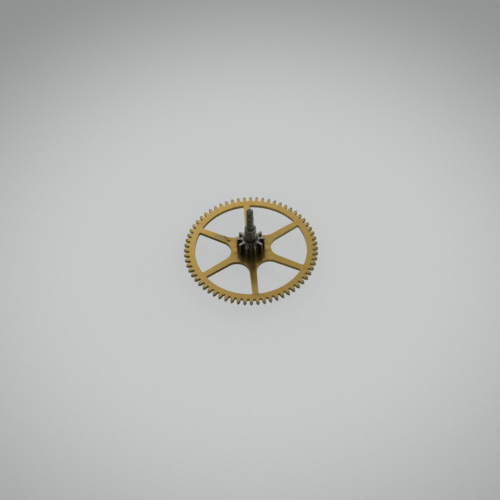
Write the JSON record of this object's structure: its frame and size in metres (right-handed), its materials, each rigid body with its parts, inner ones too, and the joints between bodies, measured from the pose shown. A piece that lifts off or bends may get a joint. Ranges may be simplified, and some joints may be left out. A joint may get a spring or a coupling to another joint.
{
  "type": "watch center wheel",
  "caption": "Toothed brass watch wheel with slender arms, riveted to a steel pinion whose arbor has a pivot at each end and a long post for the cannon pinion.",
  "frame": {"origin": "centre of the arbor, at the height of the pinion's dial-side shoulder", "axes": "+Z along the arbor towards the tip of the post on the dial side; one arm of the wheel lies along +Y"},
  "size_m": [0.01, 0.01, 0.0056],
  "materials": {
    "brass": "fine satin, gilt",
    "steel": "polished, hardened"
  },
  "bodies": {
    "root": {"wheel": "brass", "pinion": "steel"}
  },
  "joints": []
}
